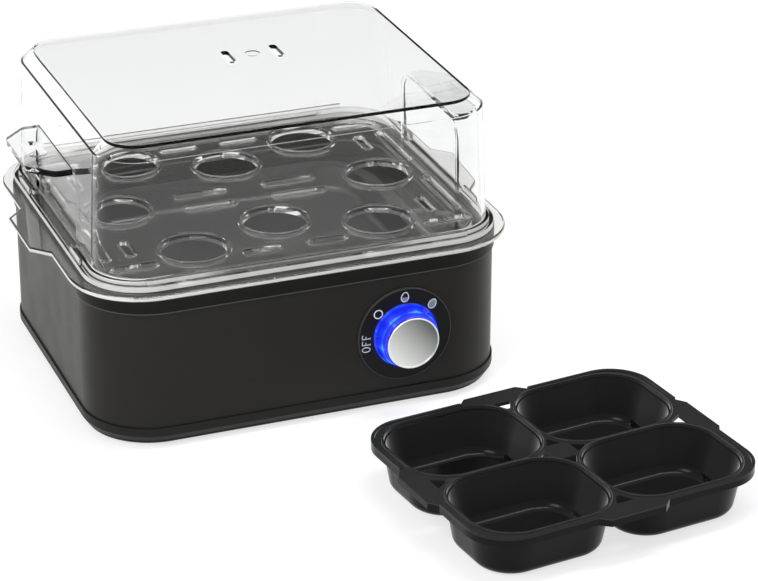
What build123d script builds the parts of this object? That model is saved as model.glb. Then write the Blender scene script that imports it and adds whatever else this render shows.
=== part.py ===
"""Electric egg cooker for eight eggs, with its four-cup poaching tray beside it.

Millimetres, +Z up. The origin is on the table, under the middle of the housing.
The dial faces -Y, and +X is to the right of a person who looks at the dial.
"""
import os
from math import cos, radians, sin, sqrt

from build123d import *

# Housing, seen from outside
band_x = 200.0  # painted sheet band
band_y = 171.7
band_r = 32.6
band_wall = 0.8
band_h = 57.1
sole_drop = 1.5  # the rubber soles stand this far below the base cover
ring_h = 8.5  # black ring under the band
ring_slant_h = 4.5
ring_slant_in = 3.0
groove = 0.5
rim_h = 8.4  # black rim above the band
proud = 0.8  # ring and rim stand out past the band
slip = 0.2  # between the band and the upstands inside it
upstand_h = 4.0

# Base cover
cover_wall = 2.0
cover_floor = 2.2
post_x = 78.0
post_y = 64.0
post_r = 4.5
boss_h = 10.0
foot_x = 62.0
foot_y = 70.0
foot_r = 7.0
foot_recess = 2.0
foot_stem_r = 2.5
foot_head_r = 4.0
foot_head_h = 1.5
vent_slot = (22.0, 3.0)
vent_count = 7
vent_pitch = 8.0
vent_y = 8.0

# Screws and nuts
screw_r = 1.5
screw_head_r = 2.8
screw_head_h = 2.0
cover_screw_l = 15.0
bracket_screw_l = 5.0
thread_gap = 0.02
hole_gap = 0.2
small_nut_r = 3.1  # across corners, halved
small_nut_h = 2.4
stud_r = 2.0
stud_l = 8.0
nut_r = 4.0
nut_h = 3.2
small_stud_l = 6.0

# Top frame and its well
frame_wall = 2.0
rim_plate = 2.2
rim_edge_r = 0.8
skirt_h = 8.0
well_x = 186.0
well_y = 158.0
well_r = 26.0
well_slope = 5.0  # the wall leans in by this much down to the shelf
well_depth = 15.5
shelf_t = 2.2
pan_hole_x = 148.0
pan_hole_y = 120.0
pan_hole_r = 23.0

# Water pan with what hangs under it
pan_t = 1.2
pan_gap = 1.0
pan_flange = 5.0  # past the hole in the shelf
pan_depth = 11.2  # below the flange
pan_slope = 4.0
pan_corner_r = 5.0
seal_t = 1.2
seal_gap = 0.5
strap_x = 50.0
strap_w = 16.0
strap_t = 1.5
strap_stud_y = 38.0
strap_foot = 7.5
strap_bend_in = 3.0  # the bends lie inside and outside the edge of the pan's hole
strap_bend_out = 4.0
tube_r = 3.25
loop_x = 34.0
loop_y = 28.0
loop_r = 9.0
leg_x = 8.0
leg_end_y = 46.0
pin_r = 1.5
pin_l = 7.0
cutout_r = 8.0
cutout_h = 9.0
cutout_flange = 1.5
cutout_flange_h = 1.0
cutout_blade = (0.8, 6.0, 6.0)
cutout_blade_x = 5.0
clip_t = 1.0
clip_stud_x = 18.0
clip_end = 5.0
fuse_r = 2.2
fuse_l = 16.0
fuse_lead_r = 0.5
fuse_lead_l = 7.0
fuse_y = -40.0
fuse_clip_t = 0.8
fuse_clip_w = 8.0
fuse_stud_out = 7.0

# Dial and knob
knob_x = 45.2
knob_z = 37.6
plate_r = 23.0
plate_t = 1.0
plate_edge = 0.3
plate_edge_w = 0.9
plate_hole_r = 20.0
plate_spigot = 5.8
plate_wall = 1.8
plate_web = 1.8
window_r = 13.0
hook_out = 0.9
hook_w = 8.0
hook_t = 1.3
light_r = 13.9
light_t = 2.0
light_bore_r = 6.0
board_r = 17.8
board_t = 1.2
board_stand = 2.0
board_post_r = 1.5
board_post_at = 16.0
lamp = (3.5, 2.8, 1.6)
lamp_at = 10.0
lamp_count = 6
knob_gap = 0.4
skirt_r = 15.5
skirt_edge_h = 1.2
skirt_top_r = 13.4
skirt_wall = 1.7
knob_reach = 12.15  # front of the cap in front of the band
cap_r = 12.6
cap_t = 2.0
cap_rim = 0.7
cap_dish = 0.25
notch_at = 9.8
notch = (2.6, 1.0)
notch_angle = 180.0  # the knob points to off, seen from the front
hub_r = 5.5
hub_l = 6.0
shaft_r = 3.0
shaft_gap = 0.05

# Thermostat behind the dial
bracket_y = -74.0
bracket_t = 1.2
bracket_w = 26.0
bracket_top = 14.0  # above the knob's axis
bracket_foot = 18.0
bracket_boss_h = 4.3
bracket_bend_r = 1.0
bracket_screw_x = 9.0
bracket_screw_in = 11.0
control_w = 24.0
control_d = 16.8
control_h = 20.0
control_edge_r = 1.5
bush_r = 4.75
bush_l = 6.5
shaft_in = 12.0
control_nut_r = 7.5
control_nut_h = 2.5
tab_w = 6.3
tab_t = 0.8
tab_l = 7.0
tab_at = 7.0

# Terminals, wires and the bush for the supply cord
block_x = -34.0
block_y = 62.0
block_size = (30.0, 16.0, 14.0)
block_pitch = 10.0
block_bore_r = 2.0
block_bore_z = 7.0
block_screw_r = 2.0
wire_r = 1.0
wire_bend = 4.0
clamp_run = (9.0, 12.0, 14.0)  # each lead leaves its clamp straight for this far
pin_run = 8.0
pin_rise = 14.0
tab_run = 9.0
tab_rise = 12.0
board_pad = (15.0, 6.0)
board_run = 5.0
bend_heater = (-22.0, 45.0, 22.7)  # where the leads turn, over the floor of the cover
bends_switch = ((30.0, -20.0, 22.0), (26.0, 34.0, 20.0))
bends_supply = ((-28.0, 10.0, 8.7), (20.0, -30.0, 12.7))
bends_lamps = ((-42.0, -10.0, 7.7), (0.0, -50.0, 8.7), (22.0, -66.0, 16.0))
gland_x = -40.0
gland_z = 26.0
gland_bore_r = 3.3
gland_neck_r = 6.0
gland_flange_r = 8.0
gland_flange_t = 2.5
gland_sleeve_l = 7.0
gland_gap = 0.1

# Egg tray
flange_x = 209.7
flange_y = 181.2
flange_r = 34.5
lip_t = 2.5
lip_edge_r = 0.9
tray_floor = 5.0  # top of the floor above the rim of the housing
tray_t = 2.0
tray_wall = 2.0
ledge_x = 197.8
ledge_y = 170.5
ledge_r = 27.5
tray_skirt = 5.0
tray_skirt_t = 1.5
tray_gap = 0.8
tray_tab_x = 112.9
tray_tab_y = 18.6
tray_tab_root_y = 27.4
tray_tab_corner = 8.0
rib_h = 3.2
rib_t = 1.5
rib_gap = 0.4
front_rib_l = 154.0
side_rib_l = 18.0
seats = ((45.0, 53.0), (0.0, 36.0), (65.0, 0.0))  # one of each mirrored set
seat_r = 15.0
seat_wall = 2.4
seat_h = 1.6
seat_chamfer = 1.2
slot_w = 4.6
bead_w = 0.9  # raised bead round each steam slot
bead_h = 0.7
slots_deep = ((73.0, 41.0, 17.0), (85.5, 31.5, 39.0))  # x, y, length
slots_wide = ((76.0, 62.0, 22.0), (15.5, 64.0, 18.5), (22.0, 8.0, 26.0))

# Lid
lid_x = 190.2  # at its foot
lid_y = 162.4
lid_r = 22.5
lid_h = 62.9
lid_draft = 2.65
lid_t = 1.8
lid_top_t = 2.0
lid_edge = 5.85  # slant between the walls and the top
lid_edge_round = 0.8
lid_foot = 1.4
lid_foot_h = 2.0
pocket_y = 34.5
pocket_in = 1.8  # depth at the foot
pocket_r = 8.0
lid_tab_z = 34.5  # underside above the foot
lid_tab_t = 3.0
lid_tab_x = 112.4
lid_tab_y = 18.0
lid_tab_root_y = 28.8
lid_tab_round = 4.0
dimple = (20.5, 9.0)
dimple_floor = (14.0, 2.5)
dimple_d = 0.7
dimple_x = 103.5
steam_x = 9.0
steam_y = 19.0
steam_pitch = 24.0
steam_slot = (15.0, 3.6)
gate_r = 3.6
gate_d = 0.5

# Poaching tray
poach_x = 77.5
poach_y = -191.5
poach_turn = 7.2
poach_r = 20.0
poach_h = 23.5
poach_t = 1.6
web_t = 1.8
web_drop = 0.8  # web below the rims of the cups
web_edge_h = 3.4
web_edge_r = 0.5
border_w = 1.6  # raised border of the web, left out over the tabs
cup_w = 64.5
cup_d = 53.0
cup_gap = 3.0  # between the mouths of two cups
cup_rim_r = 0.5
cup_ledge_h = 1.8
cup_ledge = 0.5
cup_r = 19.0
cup_draft = 4.2
cup_floor_r = 5.0
cup_step_h = 6.5
cup_step = 0.7
rim_side = 5.2  # from the mouths to the edge of the web
rim_end = 4.2
side_tab_out = 3.2
side_tab_tip = 13.0
side_tab_root = 17.7
end_tab_out = 4.0
end_tab_tip = 13.5
end_tab_root = 17.7
window_base = 9.0
window_h = 6.5
window_in = 10.2  # from the edge of the web
inner_window_base = 7.6
inner_window_h = 5.8
inner_window_at = 9.2
window_angle = 60

poach_w = 2 * cup_w + cup_gap + 2 * rim_side
poach_d = 2 * cup_d + cup_gap + 2 * rim_end
cup_x = (cup_w + cup_gap) / 2
cup_y = (cup_d + cup_gap) / 2

# Levels
z_ring = sole_drop
z_band = z_ring + ring_h
z_rim = z_band + band_h
z_top = z_rim + rim_h
z_shelf = z_top - well_depth
z_seal = z_shelf + seal_t
z_pan = z_seal - pan_depth
z_floor = z_ring + cover_floor
z_split = z_floor + boss_h
z_tray = z_top + tray_floor
z_lid = z_tray + lid_h
y_front = -band_y / 2
y_face = y_front - plate_t
y_knob = y_face - knob_gap
y_cap = y_front - knob_reach
y_bush = bracket_y - bush_l + bracket_t
y_control = bracket_y + bracket_t + control_d
poach_plane = Plane(
    origin=(poach_x, poach_y, 0),
    x_dir=(cos(radians(poach_turn)), sin(radians(poach_turn)), 0),
    z_dir=(0, 0, 1),
)
knob_plane = Plane(origin=(knob_x, 0, knob_z), x_dir=(1, 0, 0), z_dir=(0, 0, 1))
knob_axis = Axis((knob_x, 0, knob_z), (0, 1, 0))

os.makedirs("parts", exist_ok=True)


def front_plane(y, x=knob_x, z=knob_z):
    """Plane that faces -Y, with its own X to the right and its own Y up."""
    return Plane(origin=(x, y, z), x_dir=(1, 0, 0), z_dir=(0, -1, 0))


def band_outline(grow, mode=Mode.ADD):
    """The band's outline in plan, grown on every side."""
    return RectangleRounded(band_x + 2 * grow, band_y + 2 * grow, band_r + grow, mode=mode)


def well_outline(grow, mode=Mode.ADD):
    return RectangleRounded(well_x + 2 * grow, well_y + 2 * grow, well_r + grow, mode=mode)


def pan_outline(grow, mode=Mode.ADD):
    """The hole for the pan in the shelf, grown on every side."""
    return RectangleRounded(
        pan_hole_x + 2 * grow, pan_hole_y + 2 * grow, pan_hole_r + grow, mode=mode
    )


def lid_outline(grow, mode=Mode.ADD):
    return RectangleRounded(lid_x + 2 * grow, lid_y + 2 * grow, lid_r + grow, mode=mode)


def finger_tabs(root, root_half, tip, tip_half, corner):
    """Corner points of a finger tab that points along +X, with slanted corners."""
    return (
        (root, root_half),
        (tip - corner, root_half),
        (tip, tip_half),
        (tip, -tip_half),
        (tip - corner, -root_half),
        (root, -root_half),
    )


def mirrored(points):
    """Each point with its copies across X = 0 and Y = 0, each place once."""
    places = []
    for x, y in points:
        for place in ((x, y), (-x, y), (x, -y), (-x, -y)):
            if place not in places:
                places.append(place)
    return places


def save(piece, name):
    piece.part.label = name
    export_step(piece.part, f"parts/{name}.step")


# Base cover: the slanting ring with the floor, its bosses and the band's upstand
with BuildPart() as base_cover:
    with BuildSketch(Plane.XY.offset(z_ring)):
        band_outline(proud - ring_slant_in)
    with BuildSketch(Plane.XY.offset(z_ring + ring_slant_h)):
        band_outline(proud)
    loft(ruled=True)
    with BuildSketch(Plane.XY.offset(z_ring + ring_slant_h)):
        band_outline(proud)
    extrude(amount=ring_h - ring_slant_h)
    with BuildSketch(Plane.XY.offset(z_band)):
        band_outline(-band_wall - slip)
    extrude(amount=upstand_h)
    with BuildSketch(Plane.XY.offset(z_floor)):
        band_outline(-band_wall - slip - cover_wall)
    extrude(amount=ring_h + upstand_h, mode=Mode.SUBTRACT)
    with BuildSketch(Plane.XY.offset(z_ring + 2 * groove)):
        band_outline(proud)
        band_outline(proud - ring_slant_in, mode=Mode.SUBTRACT)
    extrude(amount=groove, mode=Mode.SUBTRACT)
    with BuildSketch(Plane.XY.offset(z_floor)):
        with GridLocations(2 * post_x, 2 * post_y, 2, 2):
            Circle(post_r)
    extrude(amount=boss_h)
    with BuildSketch(Plane.XY.offset(z_floor)):
        with GridLocations(2 * foot_x, 2 * foot_y, 2, 2):
            Circle(foot_r + cover_floor)
    extrude(amount=foot_recess)
    with BuildSketch(Plane.XY.offset(z_floor)):
        with Locations((knob_x, bracket_y + bracket_screw_in)):
            with GridLocations(2 * bracket_screw_x, 0, 2, 1):
                Circle(post_r)
    extrude(amount=bracket_boss_h)
    with BuildSketch(Plane.XY.offset(z_ring)):
        with GridLocations(2 * foot_x, 2 * foot_y, 2, 2):
            Circle(foot_r + hole_gap)
    extrude(amount=foot_recess, mode=Mode.SUBTRACT)
    with GridLocations(2 * foot_x, 2 * foot_y, 2, 2):
        Hole(foot_stem_r + thread_gap)
    with Locations(Plane.XY.offset(z_split)):
        with GridLocations(2 * post_x, 2 * post_y, 2, 2):
            Hole(screw_r + hole_gap)
    with BuildSketch(Plane.XY.offset(z_ring)):
        with GridLocations(2 * post_x, 2 * post_y, 2, 2):
            Circle(screw_head_r + hole_gap)
    extrude(amount=z_split - z_ring - 2 * screw_head_h, mode=Mode.SUBTRACT)
    with BuildSketch(Plane.XY.offset(z_floor + bracket_boss_h)):
        with Locations((knob_x, bracket_y + bracket_screw_in)):
            with GridLocations(2 * bracket_screw_x, 0, 2, 1):
                Circle(screw_r + thread_gap)
    extrude(amount=-bracket_screw_l, mode=Mode.SUBTRACT)
    with BuildSketch(Plane.XY.offset(z_ring)):
        with Locations((0, vent_y)):
            with GridLocations(vent_pitch, 0, vent_count, 1):
                SlotOverall(*vent_slot, rotation=90)
    extrude(amount=cover_floor, mode=Mode.SUBTRACT)
save(base_cover, "base_cover")

# Rubber feet, pushed into the cover from below
with BuildPart() as rubber_feet:
    with BuildSketch():
        with GridLocations(2 * foot_x, 2 * foot_y, 2, 2):
            Circle(foot_r)
    extrude(amount=sole_drop + foot_recess)
    with BuildSketch():
        with GridLocations(2 * foot_x, 2 * foot_y, 2, 2):
            Circle(foot_stem_r)
    extrude(amount=z_floor + foot_recess + foot_head_h)
    with BuildSketch(Plane.XY.offset(z_floor + foot_recess)):
        with GridLocations(2 * foot_x, 2 * foot_y, 2, 2):
            Circle(foot_head_r)
    extrude(amount=foot_head_h)
save(rubber_feet, "rubber_feet")

# Band: one strip of painted sheet, pierced for the dial and for the cord's bush
with BuildPart() as side_band:
    with BuildSketch(Plane.XY.offset(z_band)):
        band_outline(0)
        band_outline(-band_wall, mode=Mode.SUBTRACT)
    extrude(amount=band_h)
    with BuildSketch(front_plane(0)):
        Circle(plate_hole_r)
    extrude(amount=band_y, mode=Mode.SUBTRACT)
    with BuildSketch(front_plane(0, gland_x, gland_z)):
        Circle(gland_neck_r + gland_gap)
    extrude(amount=-band_y, mode=Mode.SUBTRACT)
save(side_band, "side_band")

# Top frame: rim, sloping well, shelf for the pan and four posts
with BuildPart() as top_frame:
    with BuildSketch(Plane.XY.offset(z_rim)):
        band_outline(proud)
    extrude(amount=rim_h)
    fillet(top_frame.edges().group_by(Axis.Z)[-1], rim_edge_r)
    with BuildSketch(Plane.XY.offset(z_rim)):
        band_outline(proud - frame_wall)
    extrude(amount=rim_h - rim_plate, mode=Mode.SUBTRACT)
    with BuildSketch(Plane.XY.offset(z_rim - skirt_h)):
        band_outline(-band_wall - slip)
        band_outline(-band_wall - slip - frame_wall, mode=Mode.SUBTRACT)
    extrude(amount=skirt_h + rim_h - rim_plate)
    with BuildSketch(Plane.XY.offset(z_shelf - shelf_t)):
        well_outline(frame_wall - well_slope)
    with BuildSketch(Plane.XY.offset(z_top)):
        well_outline(frame_wall)
    loft(ruled=True)
    with BuildSketch(Plane.XY.offset(z_shelf)):
        well_outline(-well_slope)
    with BuildSketch(Plane.XY.offset(z_top)):
        well_outline(0)
    loft(ruled=True, mode=Mode.SUBTRACT)
    with BuildSketch(Plane.XY.offset(z_shelf)):
        pan_outline(0)
    extrude(amount=-shelf_t, mode=Mode.SUBTRACT)
    with BuildSketch(Plane.XY.offset(z_split)):
        with GridLocations(2 * post_x, 2 * post_y, 2, 2):
            Circle(post_r)
    extrude(amount=z_shelf - shelf_t - z_split)
    with BuildSketch(Plane.XY.offset(z_split)):
        with GridLocations(2 * post_x, 2 * post_y, 2, 2):
            Circle(screw_r + thread_gap)
    extrude(amount=cover_screw_l, mode=Mode.SUBTRACT)
save(top_frame, "top_frame")

# Screws that hold the cover to the posts
with BuildPart() as cover_screws:
    with BuildSketch(Plane.XY.offset(z_split - 2 * screw_head_h)):
        with GridLocations(2 * post_x, 2 * post_y, 2, 2):
            Circle(screw_head_r)
    extrude(amount=-screw_head_h)
    with BuildSketch(Plane.XY.offset(z_split - 2 * screw_head_h)):
        with GridLocations(2 * post_x, 2 * post_y, 2, 2):
            Circle(screw_r)
    extrude(amount=cover_screw_l)
save(cover_screws, "cover_screws")

# Pan seal between the shelf and the pan's flange
with BuildPart() as pan_seal:
    with BuildSketch(Plane.XY.offset(z_shelf)):
        pan_outline(pan_flange)
        pan_outline(seal_gap, mode=Mode.SUBTRACT)
    extrude(amount=seal_t)
save(pan_seal, "pan_seal")

# Water pan: pressed bowl with its flange, and the studs welded to its underside
with BuildPart() as pan_bowl:
    with BuildSketch(Plane.XY.offset(z_pan + pan_t)):
        pan_outline(-pan_gap - pan_slope - pan_t)
    with BuildSketch(Plane.XY.offset(z_seal + pan_t)):
        pan_outline(-pan_gap - pan_t)
    loft(ruled=True)
    fillet(pan_bowl.edges().group_by(Axis.Z)[0], pan_corner_r - pan_t)

with BuildPart() as heating_pan:
    with BuildSketch(Plane.XY.offset(z_pan)):
        pan_outline(-pan_gap - pan_slope)
    with BuildSketch(Plane.XY.offset(z_seal)):
        pan_outline(-pan_gap)
    loft(ruled=True)
    fillet(heating_pan.edges().group_by(Axis.Z)[0], pan_corner_r)
    with BuildSketch(Plane.XY.offset(z_seal)):
        pan_outline(pan_flange)
    extrude(amount=pan_t)
    add(pan_bowl.part, mode=Mode.SUBTRACT)
    with BuildSketch(Plane.XY.offset(z_pan)):
        with GridLocations(2 * strap_x, 2 * strap_stud_y, 2, 2):
            Circle(stud_r)
    extrude(amount=-stud_l)
    with BuildSketch(Plane.XY.offset(z_pan)):
        with Locations((clip_stud_x, 0), (-clip_stud_x, 0), (0, fuse_y - fuse_stud_out)):
            Circle(screw_r)
    extrude(amount=-small_stud_l)
save(heating_pan, "heating_pan")

# Straps: two bent strips that pull the pan down onto its seal
strap_low_y = pan_hole_y / 2 - strap_bend_in
strap_high_y = pan_hole_y / 2 + strap_bend_out
with BuildPart() as pan_straps:
    with BuildSketch(Plane.YZ.offset(-strap_x - strap_w / 2)):
        with BuildLine():
            Polyline(
                (strap_high_y + strap_foot, z_shelf - shelf_t),
                (strap_high_y, z_shelf - shelf_t),
                (strap_low_y, z_pan),
                (-strap_low_y, z_pan),
                (-strap_high_y, z_shelf - shelf_t),
                (-strap_high_y - strap_foot, z_shelf - shelf_t),
                (-strap_high_y - strap_foot, z_shelf - shelf_t - strap_t),
                (-strap_high_y - strap_t / 2, z_shelf - shelf_t - strap_t),
                (-strap_low_y - strap_t / 2, z_pan - strap_t),
                (strap_low_y + strap_t / 2, z_pan - strap_t),
                (strap_high_y + strap_t / 2, z_shelf - shelf_t - strap_t),
                (strap_high_y + strap_foot, z_shelf - shelf_t - strap_t),
                close=True,
            )
        make_face()
    extrude(amount=strap_w)
    with BuildSketch(Plane.XY.offset(z_pan)):
        with Locations((-strap_x, strap_stud_y), (-strap_x, -strap_stud_y)):
            Circle(stud_r + hole_gap)
    extrude(amount=-strap_t, mode=Mode.SUBTRACT)
    mirror(about=Plane.YZ)
save(pan_straps, "pan_straps")

with BuildPart() as pan_nuts:
    with BuildSketch(Plane.XY.offset(z_pan - strap_t)):
        with GridLocations(2 * strap_x, 2 * strap_stud_y, 2, 2):
            RegularPolygon(nut_r, 6)
            Circle(stud_r + thread_gap, mode=Mode.SUBTRACT)
    extrude(amount=-nut_h)
save(pan_nuts, "pan_nuts")

# Heating element: one bent tube under the pan, with a pin in each end
z_tube = z_pan - tube_r
with BuildPart() as heating_element:
    with BuildLine() as element_path:
        FilletPolyline(
            (-leg_x, leg_end_y, z_tube),
            (-leg_x, loop_y, z_tube),
            (-loop_x, loop_y, z_tube),
            (-loop_x, -loop_y, z_tube),
            (loop_x, -loop_y, z_tube),
            (loop_x, loop_y, z_tube),
            (leg_x, loop_y, z_tube),
            (leg_x, leg_end_y, z_tube),
            radius=loop_r,
        )
    with BuildSketch(Plane(origin=(-leg_x, leg_end_y, z_tube), z_dir=(0, -1, 0))):
        Circle(tube_r)
    sweep()
    with BuildSketch(front_plane(leg_end_y, 0, z_tube)):
        with GridLocations(2 * leg_x, 0, 2, 1):
            Circle(pin_r)
    extrude(amount=-pin_l)
save(heating_element, "heating_element")

# Boil-dry cut-out: a disc thermostat pressed to the pan
with BuildPart() as limit_thermostat:
    with BuildSketch(Plane.XY.offset(z_pan)):
        Circle(cutout_r + cutout_flange)
    extrude(amount=-cutout_flange_h)
    with BuildSketch(Plane.XY.offset(z_pan)):
        Circle(cutout_r)
    extrude(amount=-cutout_h)
    with Locations((0, 0, z_pan - cutout_h - cutout_blade[2] / 2)):
        with GridLocations(2 * cutout_blade_x, 0, 2, 1):
            Box(*cutout_blade)
save(limit_thermostat, "limit_thermostat")

with BuildPart() as thermostat_strap:
    with BuildSketch(Plane.XY.offset(z_pan - cutout_flange_h)):
        SlotOverall(2 * (clip_stud_x + clip_end), 2 * clip_end)
        Circle(cutout_r + cutout_flange + clip_t)
        Circle(cutout_r + hole_gap, mode=Mode.SUBTRACT)
        with GridLocations(2 * clip_stud_x, 0, 2, 1):
            Circle(screw_r + hole_gap, mode=Mode.SUBTRACT)
    extrude(amount=-clip_t)
save(thermostat_strap, "thermostat_strap")

# Thermal fuse with its clip
z_fuse = z_pan - fuse_r
with BuildPart() as thermal_fuse:
    with BuildSketch(Plane.YZ):
        with Locations((fuse_y, z_fuse)):
            Circle(fuse_r)
    extrude(amount=fuse_l / 2, both=True)
    with BuildSketch(Plane.YZ):
        with Locations((fuse_y, z_fuse)):
            Circle(fuse_lead_r)
    extrude(amount=fuse_l / 2 + fuse_lead_l, both=True)
save(thermal_fuse, "thermal_fuse")

fuse_stud_y = fuse_y - fuse_stud_out
with BuildPart() as fuse_clip:
    with BuildSketch(Plane.YZ):
        with Locations((fuse_y, z_fuse)):
            Circle(fuse_r + fuse_clip_t)
        with Locations((fuse_y, z_fuse)):
            Rectangle(
                2 * (fuse_r + fuse_clip_t), fuse_r, align=(Align.CENTER, Align.MIN)
            )
        with Locations((fuse_stud_y - clip_end, z_pan)):
            Rectangle(
                fuse_stud_out + clip_end - fuse_r,
                fuse_clip_t,
                align=(Align.MIN, Align.MAX),
            )
        with Locations((fuse_y, z_fuse)):
            Circle(fuse_r, mode=Mode.SUBTRACT)
            Rectangle(
                2 * fuse_r, fuse_r, align=(Align.CENTER, Align.MIN), mode=Mode.SUBTRACT
            )
        with Locations((fuse_y, z_pan)):
            Rectangle(
                4 * fuse_r, fuse_r, align=(Align.CENTER, Align.MIN), mode=Mode.SUBTRACT
            )
    extrude(amount=fuse_clip_w / 2, both=True)
    with BuildSketch(Plane.XY.offset(z_pan)):
        with Locations((0, fuse_stud_y)):
            Circle(screw_r + hole_gap)
    extrude(amount=-fuse_clip_t, mode=Mode.SUBTRACT)
save(fuse_clip, "fuse_clip")

with BuildPart() as small_nuts:
    with BuildSketch(Plane.XY.offset(z_pan - cutout_flange_h - clip_t)):
        with GridLocations(2 * clip_stud_x, 0, 2, 1):
            RegularPolygon(small_nut_r, 6)
            Circle(screw_r + thread_gap, mode=Mode.SUBTRACT)
    extrude(amount=-small_nut_h)
    with BuildSketch(Plane.XY.offset(z_pan - fuse_clip_t)):
        with Locations((0, fuse_stud_y)):
            RegularPolygon(small_nut_r, 6)
            Circle(screw_r + thread_gap, mode=Mode.SUBTRACT)
    extrude(amount=-small_nut_h)
save(small_nuts, "small_nuts")

# Dial plate: a turned disc with a raised edge, snapped into the band
y_plate_back = y_face + plate_t + plate_web
with BuildPart() as dial_plate:
    with BuildSketch(knob_plane):
        with BuildLine():
            Polyline(
                (window_r, y_face),
                (plate_r - plate_edge_w, y_face),
                (plate_r - plate_edge_w / 2, y_face - plate_edge),
                (plate_r, y_face),
                (plate_r, y_front),
                (plate_hole_r - hole_gap, y_front),
                (plate_hole_r - hole_gap, y_front + plate_spigot),
                (plate_hole_r - hole_gap - plate_wall, y_front + plate_spigot),
                (plate_hole_r - hole_gap - plate_wall, y_plate_back),
                (light_r + thread_gap, y_plate_back),
                (light_r + thread_gap, y_plate_back - light_t),
                (window_r, y_plate_back - light_t),
                close=True,
            )
        make_face()
    revolve(axis=knob_axis)
    with BuildSketch(front_plane(y_front + band_wall + slip + hook_t)):
        with PolarLocations(plate_hole_r - hole_gap - plate_wall / 2 + hook_out / 2, 3, 90):
            Rectangle(plate_wall + hook_out, hook_w)
    extrude(amount=hook_t)
    with BuildSketch(front_plane(y_plate_back)):
        with PolarLocations(board_post_at, 3):
            Circle(board_post_r)
    extrude(amount=-board_stand)
save(dial_plate, "dial_plate")

with BuildPart() as light_ring:
    with BuildSketch(front_plane(y_plate_back)):
        Circle(light_r)
        Circle(light_bore_r, mode=Mode.SUBTRACT)
    extrude(amount=light_t)
save(light_ring, "light_ring")

# Lamp board behind the dial plate
y_board = y_plate_back + board_stand
with BuildPart() as led_board:
    with BuildSketch(front_plane(y_board)):
        Circle(board_r)
        Circle(light_bore_r, mode=Mode.SUBTRACT)
    extrude(amount=-board_t)
save(led_board, "led_board")

with BuildPart() as led_lamps:
    with BuildSketch(front_plane(y_board)):
        with PolarLocations(lamp_at, lamp_count):
            Rectangle(lamp[0], lamp[1])
    extrude(amount=lamp[2])
save(led_lamps, "led_lamps")

# Knob: translucent body, metal cap and the spindle that both turn with
y_shaft = y_knob - skirt_edge_h - hub_l
with BuildPart() as knob_skirt:
    with BuildSketch(knob_plane):
        with BuildLine():
            Polyline(
                (0, y_cap + cap_t),
                (skirt_top_r - cap_rim, y_cap + cap_t),
                (skirt_top_r, y_cap + cap_t + cap_rim),
                (skirt_r, y_knob - skirt_edge_h),
                (skirt_r, y_knob),
                (skirt_r - skirt_wall, y_knob),
                (skirt_top_r - skirt_wall, y_shaft),
                (hub_r, y_shaft),
                (hub_r, y_knob - skirt_edge_h),
                (shaft_r + thread_gap, y_knob - skirt_edge_h),
                (shaft_r + thread_gap, y_shaft),
                (0, y_shaft),
                close=True,
            )
        make_face()
    revolve(axis=knob_axis)
save(knob_skirt, "knob_skirt")

with BuildPart() as knob_cap:
    with BuildSketch(knob_plane):
        with BuildLine():
            Polyline(
                (0, y_cap + cap_dish),
                (cap_r - cap_rim - cap_dish, y_cap + cap_dish),
                (cap_r - cap_rim, y_cap),
                (cap_r - cap_dish, y_cap),
                (cap_r, y_cap + cap_dish),
                (cap_r, y_cap + cap_t),
                (0, y_cap + cap_t),
                close=True,
            )
        make_face()
    revolve(axis=knob_axis)
    with BuildSketch(front_plane(y_cap)):
        with PolarLocations(notch_at, 1, notch_angle):
            SlotOverall(*notch)
    extrude(amount=-2 * cap_dish, mode=Mode.SUBTRACT)
save(knob_cap, "knob_cap")

with BuildPart() as control_shaft:
    with BuildSketch(front_plane(y_shaft)):
        Circle(shaft_r)
    extrude(amount=-(y_bush + shaft_in - y_shaft))
save(control_shaft, "control_shaft")

# Thermostat body with its threaded bush
with BuildPart() as control_body:
    with Locations((knob_x, bracket_y + bracket_t + control_d / 2, knob_z)):
        Box(control_w, control_d, control_h)
    fillet(control_body.edges().filter_by(Axis.Y), control_edge_r)
    with BuildSketch(front_plane(bracket_y + bracket_t)):
        Circle(bush_r)
    extrude(amount=bush_l)
    with BuildSketch(front_plane(y_bush)):
        Circle(shaft_r + shaft_gap)
    extrude(amount=-shaft_in - 2 * shaft_gap, mode=Mode.SUBTRACT)
    with BuildSketch(front_plane(y_control)):
        with GridLocations(2 * tab_at, tab_at, 2, 2):
            Rectangle(tab_w, tab_t)
    extrude(amount=-tab_l)
save(control_body, "control_body")

with BuildPart() as control_nut:
    with BuildSketch(front_plane(bracket_y)):
        RegularPolygon(control_nut_r, 6)
        Circle(bush_r + thread_gap, mode=Mode.SUBTRACT)
    extrude(amount=control_nut_h)
save(control_nut, "control_nut")

# Bracket: bent sheet between the base cover and the thermostat
z_bracket = z_floor + bracket_boss_h
with BuildPart() as control_bracket:
    with BuildSketch(Plane.YZ.offset(knob_x)):
        with BuildLine():
            Polyline(
                (bracket_y, z_bracket),
                (bracket_y + bracket_foot, z_bracket),
                (bracket_y + bracket_foot, z_bracket + bracket_t),
                (bracket_y + bracket_t, z_bracket + bracket_t),
                (bracket_y + bracket_t, knob_z + bracket_top),
                (bracket_y, knob_z + bracket_top),
                close=True,
            )
        make_face()
    extrude(amount=bracket_w / 2, both=True)
    fillet(
        control_bracket.edges()
        .filter_by(Axis.X)
        .filter_by_position(Axis.Y, bracket_y - slip, bracket_y + slip)
        .sort_by(Axis.Z)[0],
        bracket_bend_r,
    )
    with BuildSketch(front_plane(bracket_y)):
        Circle(bush_r + hole_gap)
    extrude(amount=-bracket_t, mode=Mode.SUBTRACT)
    with BuildSketch(Plane.XY.offset(z_bracket)):
        with Locations((knob_x, bracket_y + bracket_screw_in)):
            with GridLocations(2 * bracket_screw_x, 0, 2, 1):
                Circle(screw_r + hole_gap)
    extrude(amount=bracket_t, mode=Mode.SUBTRACT)
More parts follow.
